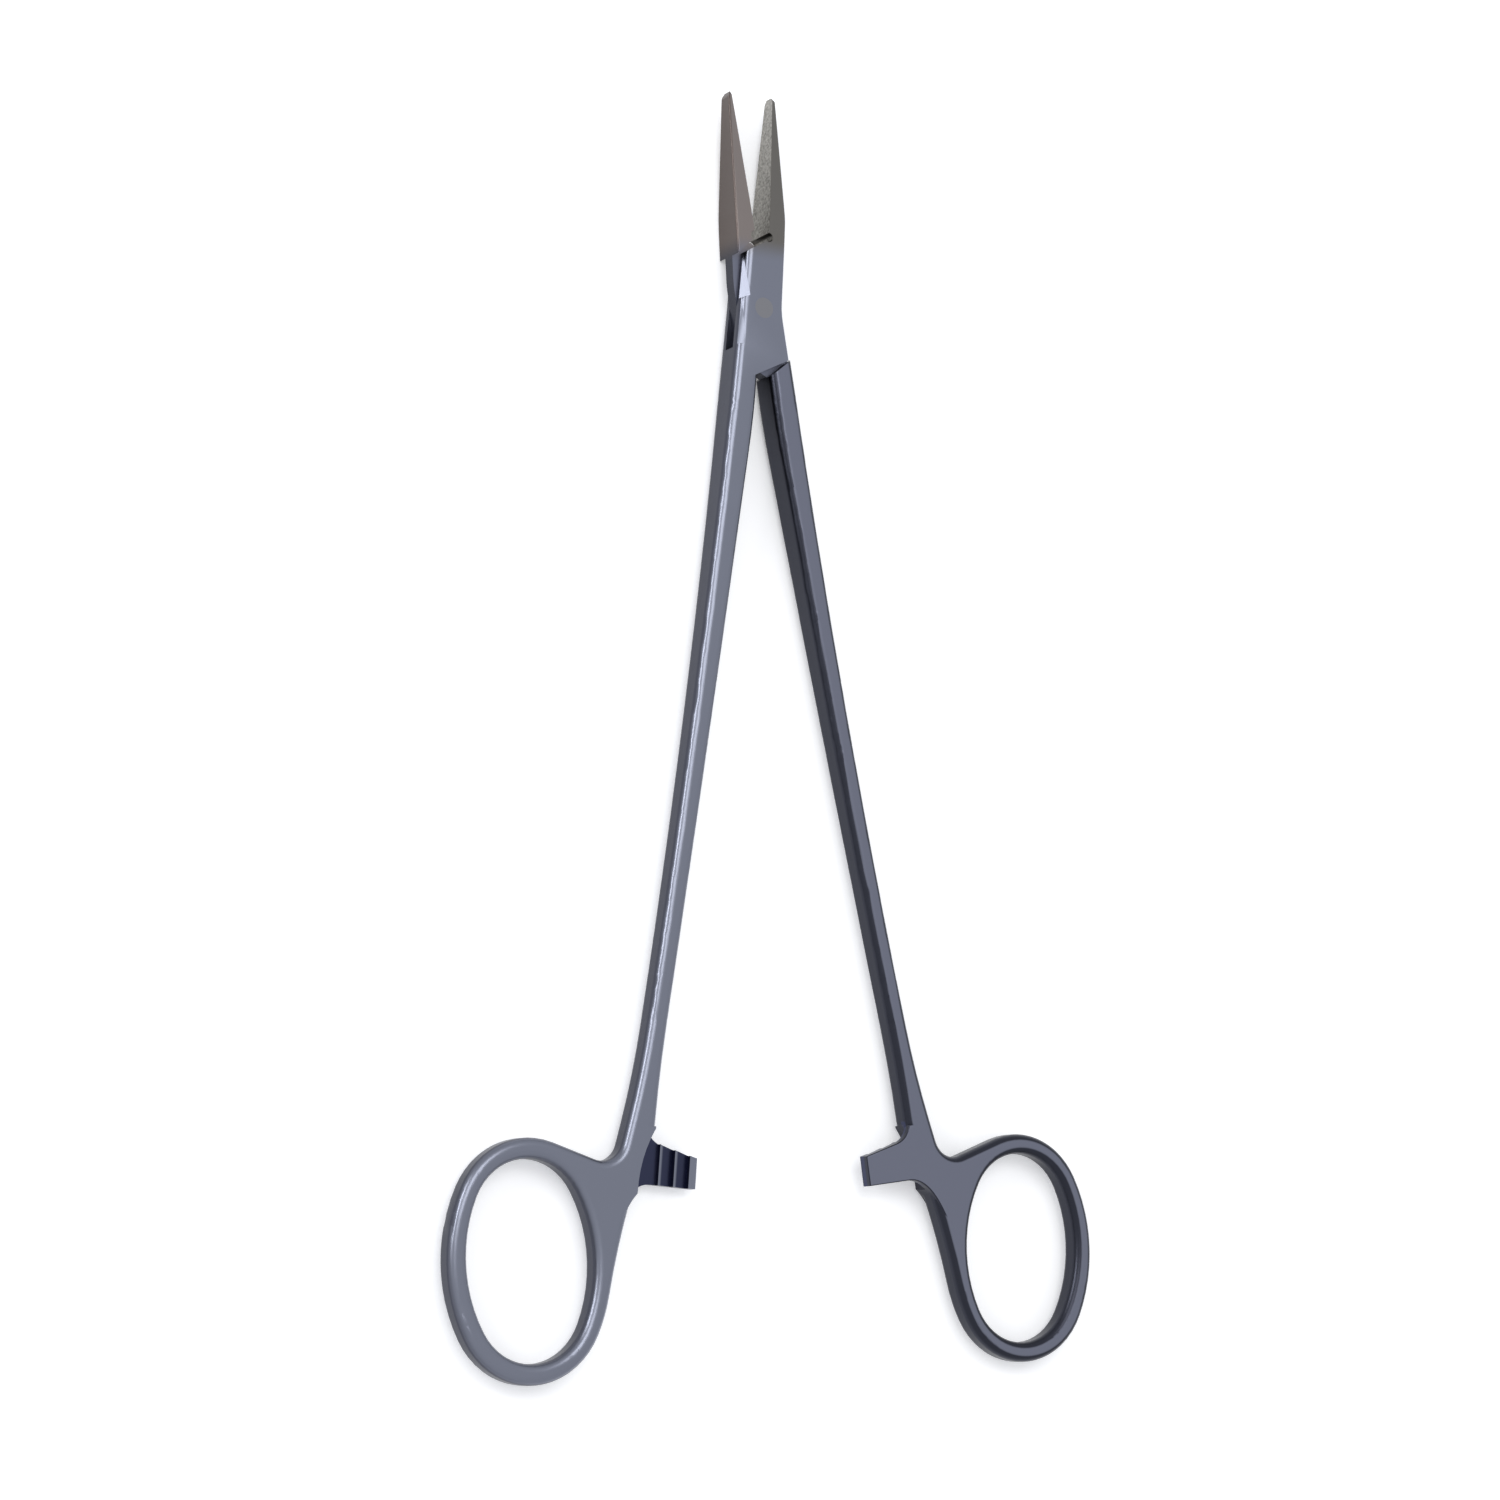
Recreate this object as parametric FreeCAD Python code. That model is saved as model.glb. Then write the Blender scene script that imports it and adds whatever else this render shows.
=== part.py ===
import FreeCAD, Part
import math
import os

V = FreeCAD.Vector

# The needle holder lies flat. X is across it, +Y points to the jaw tips, +Z is up.
# The origin is on the pivot's axis, at the back face of the box. All sizes are millimetres.
# Both arms are the same forging, drawn closed with the shank at +X and the jaw at -X, and its
# middle plane at Z = 0. The box arm is that forging turned over about Y.

# Opening of the arms as it lies
HALF_OPENING = 6.15

# Jaws
JAW_LENGTH = 32.4
JAW_TIP_WIDTH = 0.58
JAW_TIP_THICKNESS = 2.0
JAW_TAPER_START = 14.0
JAW_ROOT_WIDTH = 2.75
TAPER_START = 13.0
TAPER_BEND = 3.0
JAW_EDGE_ROUND = 0.3
GRIP_CLEARANCE = 0.03

# Box and pivot
BOX_THICKNESS = 5.2
BOX_FLAT_END = 13.0
BOX_SHANK_SIDE = 3.42
WAIST = 3.05
WAIST_RADIUS = 12.0
NECK_WAIST = 3.6
NECK_WAIST_ALONG = 4.0
BOX_FLARE = 4.75
NECK_FLARE = 3.5
TOP_ANGLE = 35.6
TOP_SHOULDER = 8.32
BOTTOM_ANGLE = 32.0
BOTTOM_SHOULDER = 8.25
SHOULDER_CLEARANCE = 0.08
NECK_THICKNESS = 1.9
NECK_CLEARANCE = 0.05
WINDOW_ANGLE = 45.0
WINDOW_END = 7.2
WINDOW_CLEARANCE = 0.1
RELIEF_DIAMETER = 1.4
RELIEF_ALONG = 10.6
PIN_DIAMETER = 3.0
PIN_CLEARANCE = 0.03

# Shank: places along it, and how far out its two edges are there
SHANK_START = 14.0
SHANK_MIDDLE = 55.0
SHANK_END = 104.0
SHANK_FOOT = 117.2
OUTER_AT_START = 4.1
OUTER_AT_MIDDLE = 6.25
OUTER_AT_END = 10.15
OUTER_AT_FOOT = 12.1
INNER_START = 12.0
INNER_BEND_END = 20.0
INNER_AT_START = 0.05
INNER_AT_BEND_END = 0.33
INNER_AT_END = 7.12
INNER_AT_FOOT = 7.87
SHANK_MIDDLE_THICKNESS = 4.1
EDGE_ROUND = 1.15

# Finger ring
RING_ACROSS = 25.3
RING_ALONG = 137.2
RING_OPENING_LENGTH = 26.8
RING_OPENING_WIDTH = 19.0
RING_END_RADIUS = 8.3
RING_LEAN = 8.5
RING_OUTSIDE_LEAN = 6.0
RING_TUBE = 2.8
RING_THICKNESS = 3.6

# Saddle between shank and ring, and the far side of the junction
SADDLE_LEAVES = 103.0
SADDLE_ALONG = 123.75
SADDLE_RADIUS = 3.2
HEEL_LEAVES = 186.0
HEEL_ACROSS = 8.3
HEEL_ALONG = 119.0

# Ratchet
BAR_TIP = 0.3
BAR_TOP = 121.2
BAR_BOTTOM = 125.4
BAR_ROOT_TOP = 119.5
BAR_ROOT_ACROSS = 7.0
BAR_ROOT_ROUND = 1.2
BAR_ROOT_SLOPE = 0.4
BAR_ROOT_END_ACROSS = 8.08
BAR_ROOT_END_ALONG = 117.7
BAR_INSIDE = 10.0
BAR_HEEL_ACROSS = 13.2
BAR_HEEL_ALONG = 133.6
BAR_HEEL_CORNER = 11.1
BAR_EDGE = 0.2
TOOTH_COUNT = 3
TOOTH_PITCH = 2.4
END_BLOCK = 1.1
TOOTH_DEPTH = 0.6
TOOTH_CLEARANCE = 0.05
RECESS_TOP_ACROSS = 7.6
RECESS_TOP_ALONG = 117.1
RECESS_MIDDLE_ACROSS = 9.5
RECESS_REACH = 10.1
RECESS_ALONG = 129.0


def line(a, b):
    return Part.makeLine(a, b)


def bend(a, corner, b):
    """A smooth bend from a to b that leaves both along the lines to the corner."""
    curve = Part.BezierCurve()
    curve.setPoles([a, corner, b])
    return curve.toShape()


def arc_along(a, direction, b):
    """The arc that leaves a in a direction and ends at b, and its direction there."""
    way = V(direction).normalize()
    chord = b.sub(a)
    turn = 2 * way.getAngle(chord)
    left = way.cross(chord).z > 0
    side = V(-way.y, way.x, 0) if left else V(way.y, -way.x, 0)
    radius = chord.Length / (2 * math.sin(turn / 2))
    half = turn / 2
    middle = a + way * (radius * math.sin(half)) + side * (radius * (1 - math.cos(half)))
    end = way * math.cos(turn) + side * math.sin(turn)
    return Part.Arc(a, middle, b).toShape(), end


def double_arc(a, start, b, end):
    """Two arcs in a row from a to b that leave a in one direction and reach b in another."""
    t1, t2 = V(start).normalize(), V(end).normalize()
    chord, both = b.sub(a), t1 + t2
    spread = 2 * (1 - t1.dot(t2))
    reach = chord.dot(both)
    length = (math.sqrt(reach * reach + spread * chord.dot(chord)) - reach) / spread
    joint = (a + t1 * length + b - t2 * length) * 0.5
    first, way = arc_along(a, t1, joint)
    second, _ = arc_along(joint, way, b)
    return [first, second]


def corner_arc(a, corner, b, radius):
    """The points where a round corner starts, is at its middle and ends."""
    back = a.sub(corner).normalize()
    on = b.sub(corner).normalize()
    half = back.getAngle(on) / 2
    reach = radius / math.tan(half)
    inward = (back + on).normalize()
    middle = corner + inward * (radius / math.sin(half) - radius)
    return corner + back * reach, middle, corner + on * reach


def round_path(points, radius):
    """Straight lines through the points, with each corner between them rounded."""
    edges = []
    at = points[0]
    for before, corner, after in zip(points, points[1:], points[2:]):
        start, middle, end = corner_arc(before, corner, after, radius)
        edges.append(line(at, start))
        edges.append(Part.Arc(start, middle, end).toShape())
        at = end
    edges.append(line(at, points[-1]))
    return edges


def ring_frame(x, y, lean):
    """A place given from the middle of a ring that leans towards the shank."""
    lean = math.radians(-lean)
    return V(RING_ACROSS + x * math.cos(lean) - y * math.sin(lean),
             -RING_ALONG + x * math.sin(lean) + y * math.cos(lean), 0)


def ring_circles(offset, lean):
    """Centre and radius of the four arcs of the ring's oval: right, top, left and bottom."""
    a = RING_OPENING_LENGTH / 2
    b = RING_OPENING_WIDTH / 2
    small = RING_END_RADIUS
    large = (a * a + b * b - 2 * a * small) / (2 * (b - small))
    return [
        (ring_frame(b - large, 0, lean), large + offset), (ring_frame(0, a - small, lean), small + offset),
        (ring_frame(large - b, 0, lean), large + offset), (ring_frame(0, small - a, lean), small + offset),
    ]


def on_circle(circle, degrees):
    centre, radius = circle
    a = math.radians(degrees)
    return centre + V(math.cos(a), math.sin(a), 0) * radius


def oval_turn():
    """The angle, from the oval's own middle line, at which its arcs meet."""
    right, top = ring_circles(0, 0)[0][0], ring_circles(0, 0)[1][0]
    across = top.sub(right)
    return math.degrees(math.atan2(across.y, across.x))


def oval_arc(circle, first, last):
    middle = on_circle(circle, (first + last) / 2)
    return Part.Arc(on_circle(circle, first), middle, on_circle(circle, last)).toShape()


def clockwise(degrees):
    """The direction in which a circle is left clockwise at an angle."""
    a = math.radians(degrees)
    return V(math.sin(a), -math.cos(a), 0)


def shoulder(x, angle, distance, side):
    """The point at x on a shoulder line, which slopes at an angle and passes the pivot at a distance."""
    a = math.radians(angle)
    return V(x, side * (distance - abs(x) * math.sin(a)) / math.cos(a), 0)


def outline(flare, waist):
    """The forging seen from above, as one closed wire of lines and arcs."""
    g = GRIP_CLEARANCE
    top_corner = shoulder(BOX_SHANK_SIDE, TOP_ANGLE, TOP_SHOULDER, 1)
    root = shoulder(-g, TOP_ANGLE, TOP_SHOULDER, 1)
    crotch = shoulder(g, BOTTOM_ANGLE, BOTTOM_SHOULDER, -1)
    low_corner = shoulder(-flare, BOTTOM_ANGLE, BOTTOM_SHOULDER, -1)
    tip = V(-g, JAW_LENGTH, 0)
    tip_outer = V(-JAW_TIP_WIDTH, JAW_LENGTH - JAW_TIP_WIDTH / 2, 0)
    jaw_outer = V(-JAW_ROOT_WIDTH, JAW_TAPER_START, 0)

    # outer edge of the shank, from the box down to the saddle
    end = V(OUTER_AT_END, -SHANK_END, 0)
    low = V(OUTER_AT_FOOT, -SHANK_FOOT, 0)
    start = V(OUTER_AT_START, -SHANK_START, 0)
    long_arc = Part.Arc(start, V(OUTER_AT_MIDDLE, -SHANK_MIDDLE, 0), end)
    first_way = long_arc.tangent(long_arc.FirstParameter)[0]
    last_way = long_arc.tangent(long_arc.LastParameter)[0]
    upper, _ = arc_along(start, first_way.negative(), top_corner)
    lower, way = arc_along(end, last_way, low)

    # ring, clockwise from the saddle over the top and round to the heel
    right, top, left, bottom = ring_circles(RING_TUBE, RING_OUTSIDE_LEAN)
    turn = oval_turn()
    lean = -RING_OUTSIDE_LEAN
    leaves = on_circle(top, SADDLE_LEAVES)
    saddle = low + way * ((SADDLE_ALONG - SHANK_FOOT) / -way.y)
    arc_start, arc_middle, arc_end = corner_arc(low, saddle, leaves, SADDLE_RADIUS)
    ring = [
        oval_arc(top, SADDLE_LEAVES, lean + turn),
        oval_arc(right, lean + turn, lean - turn),
        oval_arc(bottom, lean - turn, lean - 180 + turn),
        oval_arc(left, lean - 180 + turn, HEEL_LEAVES - 360),
    ]

    # inner edge of the shank, from the heel up to the crotch
    near = V(INNER_AT_START, -INNER_START, 0)
    bent = V(INNER_AT_BEND_END, -INNER_BEND_END, 0)
    far = V(INNER_AT_END, -SHANK_END, 0)
    last = V(INNER_AT_FOOT, -SHANK_FOOT, 0)
    first_arc, way_in = arc_along(near, V(0, -1, 0), bent)
    second_arc, way_far = arc_along(bent, way_in, far)
    third_arc, way_last = arc_along(far, way_far, last)
    heel = V(HEEL_ACROSS, -HEEL_ALONG, 0)
    ring_exit = on_circle(left, HEEL_LEAVES)

    edges = [line(tip, root), line(root, top_corner), upper, long_arc.toShape(), lower]
    edges += [line(low, arc_start), Part.Arc(arc_start, arc_middle, arc_end).toShape(), line(arc_end, leaves)]
    heel_arc, way_heel = arc_along(ring_exit, clockwise(HEEL_LEAVES), heel)
    edges += ring + [heel_arc]
    edges += double_arc(heel, way_heel, last, way_last.negative())
    edges += [third_arc, second_arc, first_arc, line(near, crotch), line(crotch, low_corner)]
    edges += round_path([low_corner, waist, jaw_outer, tip_outer], WAIST_RADIUS)
    edges.append(line(tip_outer, tip))
    return Part.Wire(Part.__sortEdges__(edges))


def polygon(points, bottom, top):
    """A straight-sided block on corner points given as (x, y), between two heights."""
    corners = [V(x, y, bottom) for x, y in points]
    face = Part.Face(Part.makePolygon(corners + corners[:1]))
    return face.extrude(V(0, 0, top - bottom))


def side_profile():
    """The forging seen from the side: thickest at the box, thin at the ring and the jaw's tip."""
    box = BOX_THICKNESS / 2
    ring = RING_THICKNESS / 2
    tip = JAW_TIP_THICKNESS / 2
    far = -RING_ALONG - RING_OPENING_LENGTH
    wide = 4 * RING_ACROSS
    slope = (box - tip) / (JAW_LENGTH - TAPER_START)
    bend_end = TAPER_START + TAPER_BEND
    front = [
        line(V(0, JAW_LENGTH, tip), V(0, bend_end, box - slope * TAPER_BEND)),
        bend(V(0, bend_end, box - slope * TAPER_BEND), V(0, TAPER_START, box),
             V(0, TAPER_START - TAPER_BEND, box)),
        line(V(0, TAPER_START - TAPER_BEND, box), V(0, -BOX_FLAT_END, box)),
        Part.Arc(V(0, -BOX_FLAT_END, box), V(0, -SHANK_MIDDLE, SHANK_MIDDLE_THICKNESS / 2),
                 V(0, -SHANK_END, ring)).toShape(),
        line(V(0, -SHANK_END, ring), V(0, far, ring)),
    ]
    back = [edge.mirror(V(0, 0, 0), V(0, 0, 1)) for edge in front]
    ends = [line(V(0, JAW_LENGTH, -tip), V(0, JAW_LENGTH, tip)), line(V(0, far, ring), V(0, far, -ring))]
    face = Part.Face(Part.Wire(Part.__sortEdges__(front + back + ends)))
    face.translate(V(-wide / 2, 0, 0))
    return face.extrude(V(wide, 0, 0))


def ring_opening():
    """The finger hole, straight through."""
    right, top, left, bottom = ring_circles(0, RING_LEAN)
    turn = oval_turn()
    lean = -RING_LEAN
    wall = [
        oval_arc(right, lean - turn, lean + turn),
        oval_arc(top, lean + turn, lean + 180 - turn),
        oval_arc(left, lean + 180 - turn, lean + 180 + turn),
        oval_arc(bottom, lean + 180 + turn, lean + 360 - turn),
    ]
    face = Part.Face(Part.Wire(wall))
    face.translate(V(0, 0, -BOX_THICKNESS))
    return face.extrude(V(0, 0, 2 * BOX_THICKNESS))


def middle_of(edge):
    return edge.valueAt((edge.FirstParameter + edge.LastParameter) / 2)


def front_and_back_edges(shape, wanted):
    """The long edges of the front and back faces whose middle point is wanted."""
    return [edge for edge in shape.Edges
            if edge.BoundBox.YLength > JAW_TIP_WIDTH and abs(middle_of(edge).z) > RING_THICKNESS / 4
            and wanted(middle_of(edge))]


def forging(flare, waist):
    """The blank that both arms start from: jaw, box, shank and finger ring, with rounded edges."""
    face = Part.Face(outline(flare, waist))
    face.translate(V(0, 0, -BOX_THICKNESS))
    blank = face.extrude(V(0, 0, 2 * BOX_THICKNESS))
    blank = blank.common(side_profile()).cut(ring_opening()).Solids[0]

    def handle_side(p):
        return p.y < -BOTTOM_SHOULDER or (p.x > WAIST and p.y < TOP_SHOULDER / 2)
    blank = blank.makeFillet(EDGE_ROUND, front_and_back_edges(blank, handle_side))

    def jaw_side(p):
        return p.x < -JAW_TIP_WIDTH and p.y > -BOTTOM_SHOULDER / 2
    blank = blank.makeFillet(JAW_EDGE_ROUND, front_and_back_edges(blank, jaw_side))
    relief = Part.makeCylinder(RELIEF_DIAMETER / 2, 2 * BOX_THICKNESS, V(0, RELIEF_ALONG, -BOX_THICKNESS))
    return blank.cut(relief)


def ratchet_bar():
    """The bar that reaches across to the other arm's bar, flush with the ring."""
    half = RING_THICKNESS / 2
    low_tip = V(BAR_TIP, -BAR_BOTTOM, 0)
    high_tip = V(BAR_TIP, -BAR_TOP, 0)
    top = V(BAR_ROOT_ACROSS - BAR_ROOT_ROUND, -BAR_ROOT_TOP - BAR_ROOT_ROUND * BAR_ROOT_SLOPE, 0)
    corner = V(BAR_ROOT_ACROSS + BAR_ROOT_ROUND / 2, -BAR_ROOT_TOP, 0)
    root = V(BAR_ROOT_END_ACROSS, -BAR_ROOT_END_ALONG, 0)
    inside = V(BAR_INSIDE, root.y, 0)
    heel = V(BAR_HEEL_ACROSS, -BAR_HEEL_ALONG, 0)
    low = V(BAR_ROOT_ACROSS, -BAR_BOTTOM, 0)
    edges = [
        line(low_tip, high_tip),
        line(high_tip, top),
        bend(top, corner, root),
        line(root, inside),
        line(inside, heel),
        bend(heel, V(BAR_HEEL_CORNER, -BAR_BOTTOM, 0), low),
        line(low, low_tip),
    ]
    face = Part.Face(Part.Wire(edges))
    face.translate(V(0, 0, -half))
    bar = face.extrude(V(0, 0, 2 * half))
    faces = [edge for edge in bar.Edges if abs(abs(middle_of(edge).z) - half) < BAR_EDGE / 2]
    outside = [edge for edge in faces if middle_of(edge).x < inside.x - BAR_EDGE]
    return bar.makeFillet(BAR_EDGE, outside)


def ratchet_recess():
    """The half of the bar's thickness that makes room for the other bar, with its teeth left standing."""
    crest = TOOTH_CLEARANCE
    floor = TOOTH_CLEARANCE + TOOTH_DEPTH
    low = -BOX_THICKNESS
    x = BAR_TIP + END_BLOCK
    profile = [V(-1, 0, low), V(-1, 0, crest), V(x, 0, crest), V(x, 0, floor)]
    for _ in range(TOOTH_COUNT - 1):
        x += TOOTH_PITCH
        profile += [V(x, 0, crest), V(x, 0, floor)]
    profile += [V(2 * RECESS_REACH, 0, floor), V(2 * RECESS_REACH, 0, low)]
    face = Part.Face(Part.makePolygon(profile + profile[:1]))
    face.translate(V(0, -RECESS_ALONG, 0))
    teeth = face.extrude(V(0, RECESS_ALONG - RECESS_TOP_ALONG, 0))
    top = V(RECESS_TOP_ACROSS, -RECESS_TOP_ALONG, 0)
    bottom = V(RECESS_REACH, -RECESS_ALONG, 0)
    edges = [
        line(V(-1, top.y, 0), top),
        Part.Arc(top, V(RECESS_MIDDLE_ACROSS, -BAR_TOP, 0), bottom).toShape(),
        line(bottom, V(-1, bottom.y, 0)),
        line(V(-1, bottom.y, 0), V(-1, top.y, 0)),
    ]
    region = Part.Face(Part.Wire(edges))
    region.translate(V(0, 0, low))
    return teeth.common(region.extrude(V(0, 0, 2 * BOX_THICKNESS)))


def upright_hole(diameter):
    return Part.makeCylinder(diameter / 2, 2 * BOX_THICKNESS, V(0, 0, -BOX_THICKNESS))


def window_slab(half_width, thickness):
    """A flat slab through the box, between two slanting end walls."""
    reach = 4 * WINDOW_END
    a = math.radians(WINDOW_ANGLE)
    along = V(math.cos(a), math.sin(a), 0) * reach
    across = V(math.sin(a), -math.cos(a), 0) * half_width
    corners = [along + across, along - across, -along - across, -along + across]
    return polygon([(c.x, c.y) for c in corners], -thickness / 2, thickness / 2)


def blank_with_ratchet(flare, waist):
    return forging(flare, waist).fuse(ratchet_bar()).cut(ratchet_recess())


def through_arm():
    """The arm with the thin neck that passes through the box."""
    top = TOP_SHOULDER + SHOULDER_CLEARANCE
    bottom = BOTTOM_SHOULDER + SHOULDER_CLEARANCE
    wide = 3 * NECK_FLARE
    far = 2 * BOTTOM_SHOULDER
    shoulders = [
        shoulder(-wide, TOP_ANGLE, top, 1), shoulder(0, TOP_ANGLE, top, 1), V(0, far, 0), V(wide, far, 0),
        shoulder(wide, BOTTOM_ANGLE, bottom, -1), shoulder(0, BOTTOM_ANGLE, bottom, -1), V(0, -far, 0),
        V(-wide, -far, 0),
    ]
    between = [(p.x, p.y) for p in shoulders]
    front = polygon(between, NECK_THICKNESS / 2, BOX_THICKNESS)
    back = polygon(between, -BOX_THICKNESS, -NECK_THICKNESS / 2)
    arm = blank_with_ratchet(NECK_FLARE, V(-NECK_WAIST, NECK_WAIST_ALONG, 0)).cut(front).cut(back)
    end = WINDOW_END - WINDOW_CLEARANCE
    a = math.radians(WINDOW_ANGLE)
    for side in (1, -1):
        foot = V(math.sin(a), math.cos(a), 0) * end * side
        run = V(math.cos(a), -math.sin(a), 0) * 2 * WINDOW_END
        out = V(math.sin(a), math.cos(a), 0) * 2 * WINDOW_END * side
        stop = V(GRIP_CLEARANCE * side, end / math.sin(a) * side, 0)
        edge = foot + run * side
        corners = [stop, edge, edge + out, V(stop.x, (stop + out).y, 0)]
        arm = arm.cut(polygon([(c.x, c.y) for c in corners], -BOX_THICKNESS, BOX_THICKNESS))
    return arm.cut(upright_hole(PIN_DIAMETER + 2 * PIN_CLEARANCE))


def box_arm():
    """The arm whose two plates hold the other one between them."""
    arm = blank_with_ratchet(BOX_FLARE, V(-WAIST, 0, 0))
    arm = arm.cut(window_slab(WINDOW_END, NECK_THICKNESS + 2 * NECK_CLEARANCE))
    arm = arm.cut(upright_hole(PIN_DIAMETER))
    arm.rotate(V(0, 0, 0), V(0, 1, 0), 180)
    return arm


def pivot_pin():
    return Part.makeCylinder(PIN_DIAMETER / 2, BOX_THICKNESS, V(0, 0, -BOX_THICKNESS / 2))


def placed(shape, turn):
    """The piece turned to its opening and raised so that the box's back face lies at Z = 0."""
    shape.rotate(V(0, 0, 0), V(0, 0, 1), turn)
    shape.translate(V(0, 0, BOX_THICKNESS / 2))
    solids = shape.removeSplitter().Solids
    return solids[0] if len(solids) == 1 else shape


os.makedirs("parts", exist_ok=True)
placed(through_arm(), HALF_OPENING).exportStep("parts/through_arm.step")
placed(box_arm(), -HALF_OPENING).exportStep("parts/box_arm.step")
placed(pivot_pin(), 0).exportStep("parts/pivot_pin.step")
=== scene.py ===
import math

import bmesh
import bpy
from mathutils import Matrix, Vector


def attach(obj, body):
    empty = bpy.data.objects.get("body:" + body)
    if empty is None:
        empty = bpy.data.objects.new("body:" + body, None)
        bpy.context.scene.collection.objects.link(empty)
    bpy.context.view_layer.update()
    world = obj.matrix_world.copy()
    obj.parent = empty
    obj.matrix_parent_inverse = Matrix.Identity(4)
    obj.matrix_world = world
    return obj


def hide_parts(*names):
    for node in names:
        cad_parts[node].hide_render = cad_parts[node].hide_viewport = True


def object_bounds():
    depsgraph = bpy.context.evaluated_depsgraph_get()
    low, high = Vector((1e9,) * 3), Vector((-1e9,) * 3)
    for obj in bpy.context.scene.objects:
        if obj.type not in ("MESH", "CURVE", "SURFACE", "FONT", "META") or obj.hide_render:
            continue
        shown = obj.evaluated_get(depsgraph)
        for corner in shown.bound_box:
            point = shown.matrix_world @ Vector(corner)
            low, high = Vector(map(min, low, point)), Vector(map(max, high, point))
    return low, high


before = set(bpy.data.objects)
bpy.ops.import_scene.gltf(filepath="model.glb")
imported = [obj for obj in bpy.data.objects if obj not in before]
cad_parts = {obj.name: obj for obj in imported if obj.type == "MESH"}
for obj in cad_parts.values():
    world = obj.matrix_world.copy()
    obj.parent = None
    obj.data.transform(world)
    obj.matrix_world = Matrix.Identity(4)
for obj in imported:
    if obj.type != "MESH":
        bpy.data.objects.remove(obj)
cad_box = [list(corner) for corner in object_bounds()]
scene = bpy.context.scene
scene.view_settings.view_transform = "Standard"

# The two arms.
# One stainless forging each, from jaw tip to finger ring, with long bevels ground on the jaw's outer side,
# and blasted to a blue-grey satin. Sides and rounded edges are painted darker than the flats as painted
# shade, darkest on the through arm's inner side. Only the jaws keep a warmer grey.
MIDDLE_HEIGHT = (cad_box[0][2] + cad_box[1][2]) / 2
HALF_OPENING = math.radians(6.15)
MERGE_DISTANCE = 0.000001
CUT_TOLERANCE = 0.0000005
SHARP_EDGE = math.radians(35)

# three corners of the front bevel and a point on each tip face, for the left jaw as it is when closed
BEVEL_TIP_INNER = Vector((-0.00033, 0.0321, 0.0010))
BEVEL_TIP_OUTER = Vector((-0.00058, 0.0321, 0.00066))
BEVEL_ROOT = Vector((-0.002054, 0.0153, 0.00239))
TIP_CORNER = Vector((-0.00058, 0.0316, 0))
TIP_CORNER_FACING = Vector((-0.85, 0.5, 0))
TIP_END = Vector((0, 0.0322, 0.00075))
TIP_END_FACING = Vector((0, 0.6, 0.8))

# where the tones change, along the arm, across the gripping face and by the depth of the ratchet teeth
JAW_TONE = (0.0068, 0.0105)
GRIP_TONE = (0.0084, 0.0085)
GRIP_FACING = (0.9, 0.95)
BAR_ACROSS = 0.0178
BAR_ALONG = -0.1215
BAR_REACH = (0.0066, 0.0063)
TOOTH_NEAR = (0.0001, 0.0002)
TOOTH_FAR = (0.0011, 0.0010)

# painted shade in the recess between the ratchet teeth
TEETH_PAINTED_SHADE = (0.045, 0.05, 0.09)
GRIT_DARK = (0.015, 0.015, 0.012)
GRIT_LIGHT = (0.55, 0.53, 0.49)
# the side tones are painted shade on faces turned away from the front; the flat tones are the steel's own
# grey
THROUGH_TONES = {
    "body_painted_shade": (0.040, 0.042, 0.055), "body_flat": (0.205, 0.215, 0.27),
    "jaw_side": (0.105, 0.087, 0.08), "jaw_flat": (0.27, 0.235, 0.22),
}
BOX_TONES = {
    "body_painted_shade": (0.060, 0.063, 0.082), "body_flat": (0.235, 0.248, 0.30),
    "jaw_side": (0.095, 0.09, 0.082), "jaw_flat": (0.18, 0.17, 0.155),
}

GRIT_SCALE = 2600.0
GRIT_HEIGHT = 0.00012
SATIN_SCALE = 150.0
SATIN_ROUGHNESS = (0.30, 0.34)
BLAST_SCALE = 9000.0
BLAST_STRENGTH = 0.01
BLAST_HEIGHT = 0.00003
NOISE_DETAIL = 2.0


def mask(tree, value, start, end):
    ramp = tree.nodes.new("ShaderNodeMapRange")
    ramp.interpolation_type = "SMOOTHSTEP"
    ramp.inputs["From Min"].default_value = start
    ramp.inputs["From Max"].default_value = end
    tree.links.new(value, ramp.inputs["Value"])
    return ramp.outputs["Result"]


def both(tree, first, second):
    product = tree.nodes.new("ShaderNodeMath")
    product.operation = "MULTIPLY"
    tree.links.new(first, product.inputs[0])
    tree.links.new(second, product.inputs[1])
    return product.outputs["Value"]


def blend(tree, factor, plain, other):
    mix = tree.nodes.new("ShaderNodeMix")
    mix.data_type = "RGBA"
    tree.links.new(factor, mix.inputs["Factor"])
    for socket, colour in (("A", plain), ("B", other)):
        if isinstance(colour, tuple):
            mix.inputs[socket].default_value = (*colour, 1)
        else:
            tree.links.new(colour, mix.inputs[socket])
    return mix.outputs["Result"]


def noise(tree, place, scale):
    texture = tree.nodes.new("ShaderNodeTexNoise")
    texture.inputs["Scale"].default_value = scale
    texture.inputs["Detail"].default_value = NOISE_DETAIL
    tree.links.new(place, texture.inputs["Vector"])
    return texture.outputs["Fac"]


def parts_of(tree, vector):
    parts = tree.nodes.new("ShaderNodeSeparateXYZ")
    tree.links.new(vector, parts.inputs["Vector"])
    return parts.outputs


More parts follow.
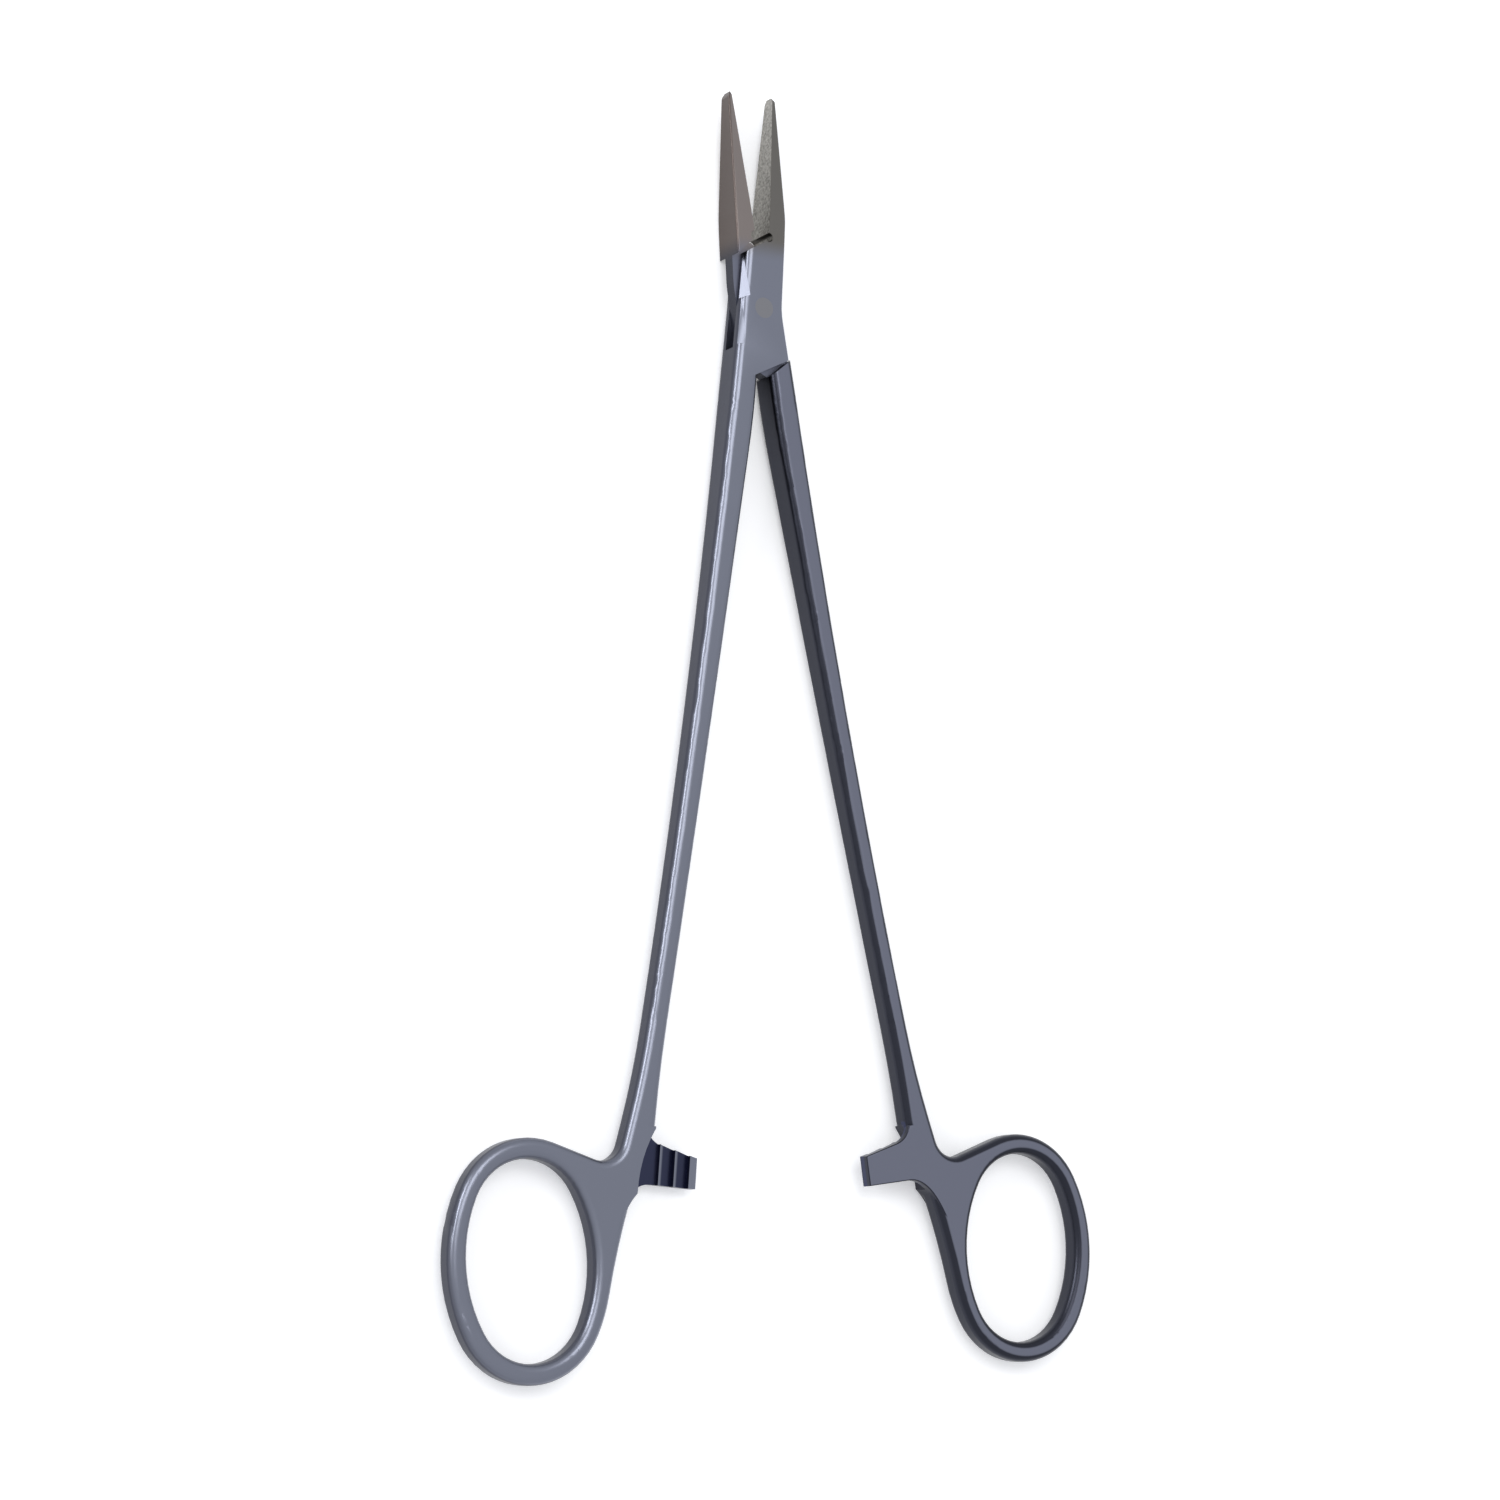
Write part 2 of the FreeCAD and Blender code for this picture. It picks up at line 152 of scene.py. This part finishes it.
# Painted shade: the tone runs from the flat colour to the darker side colour as the surface turns away
# from facing up, standing in for the shade on sides and rounded edges.
def shade_painted_by_facing(tree, place, facing, shade_to_flat, tones):
    steepness = tree.nodes.new("ShaderNodeMath")
    steepness.operation = "ABSOLUTE"
    tree.links.new(facing["Z"], steepness.inputs[0])
    flat = mask(tree, steepness.outputs["Value"], *shade_to_flat)
    body = blend(tree, flat, tones["body_painted_shade"], tones["body_flat"])
    jaw = blend(tree, flat, tones["jaw_side"], tones["jaw_flat"])
    return blend(tree, mask(tree, place["Y"], *JAW_TONE), body, jaw)


def gripping_face(tree, place, facing, inward):
    start, end = GRIP_FACING
    above = mask(tree, place["Y"], *GRIP_TONE)
    return both(tree, above, mask(tree, facing["X"], start * inward, end * inward))


# Painted shade: darkens the ratchet bar's tooth recess, near the bar's middle and between two depths.
def teeth_shade_mask(tree, where, place, inward):
    near = tree.nodes.new("ShaderNodeVectorMath")
    near.operation = "DISTANCE"
    near.inputs[1].default_value = (BAR_ACROSS * inward, BAR_ALONG, MIDDLE_HEIGHT)
    tree.links.new(where, near.inputs[0])
    heights = [[MIDDLE_HEIGHT + inward * depth for depth in depths] for depths in (TOOTH_NEAR, TOOTH_FAR)]
    between = both(tree, mask(tree, place["Z"], *heights[0]), mask(tree, place["Z"], *heights[1]))
    return both(tree, mask(tree, near.outputs["Value"], *BAR_REACH), between)


def satin_steel(name, side, shade_to_flat, tones):
    inward = -side
    steel = bpy.data.materials.new(name)
    steel.use_nodes = True
    tree = steel.node_tree
    shader = tree.nodes["Principled BSDF"]
    shader.inputs["Metallic"].default_value = 1.0
    coordinates = tree.nodes.new("ShaderNodeTexCoord")
    where = coordinates.outputs["Object"]
    place = parts_of(tree, where)
    facing = parts_of(tree, coordinates.outputs["Normal"])

    grip = gripping_face(tree, place, facing, inward)
    grit = noise(tree, where, GRIT_SCALE)
    tone = shade_painted_by_facing(tree, place, facing, shade_to_flat, tones)
    tone = blend(tree, grip, tone, blend(tree, grit, GRIT_DARK, GRIT_LIGHT))
    # painted shade in the ratchet teeth
    tone = blend(tree, teeth_shade_mask(tree, where, place, inward), tone, TEETH_PAINTED_SHADE)
    tree.links.new(tone, shader.inputs["Base Color"])

    finish = tree.nodes.new("ShaderNodeMapRange")
    finish.inputs["To Min"].default_value, finish.inputs["To Max"].default_value = SATIN_ROUGHNESS
    tree.links.new(noise(tree, where, SATIN_SCALE), finish.inputs["Value"])
    tree.links.new(finish.outputs["Result"], shader.inputs["Roughness"])

    blasting = tree.nodes.new("ShaderNodeBump")
    blasting.inputs["Strength"].default_value = BLAST_STRENGTH
    blasting.inputs["Distance"].default_value = BLAST_HEIGHT
    tree.links.new(noise(tree, where, BLAST_SCALE), blasting.inputs["Height"])
    roughing = tree.nodes.new("ShaderNodeBump")
    roughing.inputs["Distance"].default_value = GRIT_HEIGHT
    tree.links.new(grip, roughing.inputs["Strength"])
    tree.links.new(grit, roughing.inputs["Height"])
    tree.links.new(blasting.outputs["Normal"], roughing.inputs["Normal"])
    tree.links.new(roughing.outputs["Normal"], shader.inputs["Normal"])
    return steel


def smoothed(obj):
    for polygon in obj.data.polygons:
        polygon.use_smooth = True
    edges = obj.modifiers.new("Edges", "EDGE_SPLIT")
    edges.split_angle = SHARP_EDGE
    shading = obj.modifiers.new("Shading", "WEIGHTED_NORMAL")
    shading.mode = "FACE_AREA_WITH_ANGLE"
    shading.weight = 100


def grind_away(form, point, outwards):
    geometry = form.verts[:] + form.edges[:] + form.faces[:]
    bmesh.ops.bisect_plane(form, geom=geometry, dist=CUT_TOLERANCE, plane_co=point, plane_no=outwards,
                           clear_outer=True)
    bmesh.ops.holes_fill(form, edges=[edge for edge in form.edges if edge.is_boundary], sides=0)


def ground_arm(name, body, steel, side):
    form = bmesh.new()
    form.from_mesh(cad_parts[name].data)
    bmesh.ops.remove_doubles(form, verts=form.verts, dist=MERGE_DISTANCE)
    opened = Matrix.Rotation(-side * HALF_OPENING, 3, "Z")
    bevel_facing = (BEVEL_TIP_OUTER - BEVEL_TIP_INNER).cross(BEVEL_ROOT - BEVEL_TIP_INNER)
    cuts = ((BEVEL_TIP_INNER, bevel_facing), (TIP_CORNER, TIP_CORNER_FACING), (TIP_END, TIP_END_FACING))
    middle = Vector((0, 0, MIDDLE_HEIGHT))
    for face in (1, -1):
        flip = Vector((-side, 1, face))
        for start, outwards in cuts:
            grind_away(form, opened @ (start * flip) + middle, opened @ (outwards * flip))
    bmesh.ops.recalc_face_normals(form, faces=form.faces)
    mesh = bpy.data.meshes.new(name + "_ground")
    form.to_mesh(mesh)
    form.free()
    mesh.materials.append(steel)
    arm = bpy.data.objects.new(name + "_ground", mesh)
    scene.collection.objects.link(arm)
    smoothed(arm)
    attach(arm, body)
    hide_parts(name)


# Painted shade: the through arm's roundings take the dark side tone almost at once; the box arm's keep
# more of the flat tone, which makes the highlight along them brighter.
through_steel = satin_steel("through_steel", side=-1, shade_to_flat=(0.93, 0.999), tones=THROUGH_TONES)
box_steel = satin_steel("box_steel", side=1, shade_to_flat=(0.25, 0.93), tones=BOX_TONES)
ground_arm("through_arm", "through_side", through_steel, side=-1)
ground_arm("box_arm", "box_side", box_steel, side=1)

# Pivot pin.
# A steel rivet through both plates of the box and the neck between them, ground flush at its ends
# and only a little yellower than the plates.
PIN_TONE = (0.27, 0.27, 0.285, 1)
PIN_ROUGHNESS = 0.3

pin_steel = bpy.data.materials.new("pin_steel")
pin_steel.use_nodes = True
pin_shader = pin_steel.node_tree.nodes["Principled BSDF"]
pin_shader.inputs["Metallic"].default_value = 1.0
pin_shader.inputs["Roughness"].default_value = PIN_ROUGHNESS
pin_shader.inputs["Base Color"].default_value = PIN_TONE
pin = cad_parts["pivot_pin"]
pin.data.materials.clear()
pin.data.materials.append(pin_steel)
merged = pin.modifiers.new("Weld", "WELD")
merged.merge_threshold = MERGE_DISTANCE
smoothed(pin)

# Floor.
# A matt white sheet under the instrument, which runs out of the picture on all sides and keeps the soft
# shadow. What is seen of it directly or in the steel is lifted to white.
SHEET_TONE = (0.93, 0.93, 0.93, 1)
SHEET_ROUGHNESS = 0.9
SHEET_LIFT = 0.3
SHEET_HALF_WIDTH = 3.0

white = bpy.data.materials.new("white_sheet")
white.use_nodes = True
white_tree = white.node_tree
white_shader = white_tree.nodes["Principled BSDF"]
white_shader.inputs["Base Color"].default_value = SHEET_TONE
white_shader.inputs["Roughness"].default_value = SHEET_ROUGHNESS
white_shader.inputs["Emission Color"].default_value = (1, 1, 1, 1)
ray = white_tree.nodes.new("ShaderNodeLightPath")
seen = ray.outputs["Is Camera Ray"]
for kind in ("Is Glossy Ray", "Is Transmission Ray"):
    either = white_tree.nodes.new("ShaderNodeMath")
    either.operation = "MAXIMUM"
    white_tree.links.new(seen, either.inputs[0])
    white_tree.links.new(ray.outputs[kind], either.inputs[1])
    seen = either.outputs["Value"]
lift = white_tree.nodes.new("ShaderNodeMath")
lift.operation = "MULTIPLY"
lift.inputs[1].default_value = SHEET_LIFT
white_tree.links.new(seen, lift.inputs[0])
white_tree.links.new(lift.outputs["Value"], white_shader.inputs["Emission Strength"])

sheet = bpy.data.meshes.new("floor")
form = bmesh.new()
bmesh.ops.create_grid(form, x_segments=1, y_segments=1, size=SHEET_HALF_WIDTH)
form.to_mesh(sheet)
form.free()
sheet.materials.append(white)
floor = bpy.data.objects.new("floor", sheet)
scene.collection.objects.link(floor)

# Light.
# A pale surround, one long softbox low on the left, whose reflection runs along the rounded edges, and a
# wide softbox above for the shadow.
SURROUND_TONE = (0.93, 0.95, 1.0, 1)
SURROUND_STRENGTH = 0.75
LIT_POINT = Vector((0, -0.06, 0))

world = bpy.data.worlds.new("surround")
scene.world = world
world.use_nodes = True
background = world.node_tree.nodes["Background"]
background.inputs["Color"].default_value = SURROUND_TONE
background.inputs["Strength"].default_value = SURROUND_STRENGTH


def softbox(name, direction, distance, size, power):
    lamp = bpy.data.lights.new(name, "AREA")
    lamp.shape = "RECTANGLE"
    lamp.size, lamp.size_y = size
    lamp.energy = power
    obj = bpy.data.objects.new(name, lamp)
    scene.collection.objects.link(obj)
    towards = Vector(direction).normalized()
    obj.location = LIT_POINT + towards * distance
    obj.rotation_euler = towards.to_track_quat("Z", "Y").to_euler()


softbox("left_softbox", direction=(-0.82, 0.35, 0.42), distance=0.9, size=(0.45, 0.2), power=2.3)
softbox("top_softbox", direction=(-0.15, 0.35, 0.93), distance=1.1, size=(0.8, 0.5), power=3.0)

# Camera.
# Fitted to the photograph: a long lens, to the left of the instrument and below its middle. The middle of
# the pivot is seen half a metre in front of the camera, and above the middle of the picture.
YAW = math.radians(32.0)
PITCH = math.radians(-8.32)
ROLL = math.radians(1.66)
PIVOT_SEEN = Vector((0.000659, 0.06276, -0.50196))
SENSOR_WIDTH = 36.0
LENS = 84.04

seen_turn = Matrix.Rotation(ROLL, 3, "Z") @ Matrix.Rotation(PITCH, 3, "X") @ Matrix.Rotation(YAW, 3, "Y")
camera_turn = seen_turn.transposed()
pivot = Vector((0, 0, MIDDLE_HEIGHT))
camera = bpy.data.cameras.new("camera")
camera.sensor_width = SENSOR_WIDTH
camera.lens = LENS
eye = bpy.data.objects.new("camera", camera)
scene.collection.objects.link(eye)
eye.matrix_world = Matrix.Translation(pivot - camera_turn @ PIVOT_SEEN) @ camera_turn.to_4x4()
scene.camera = eye
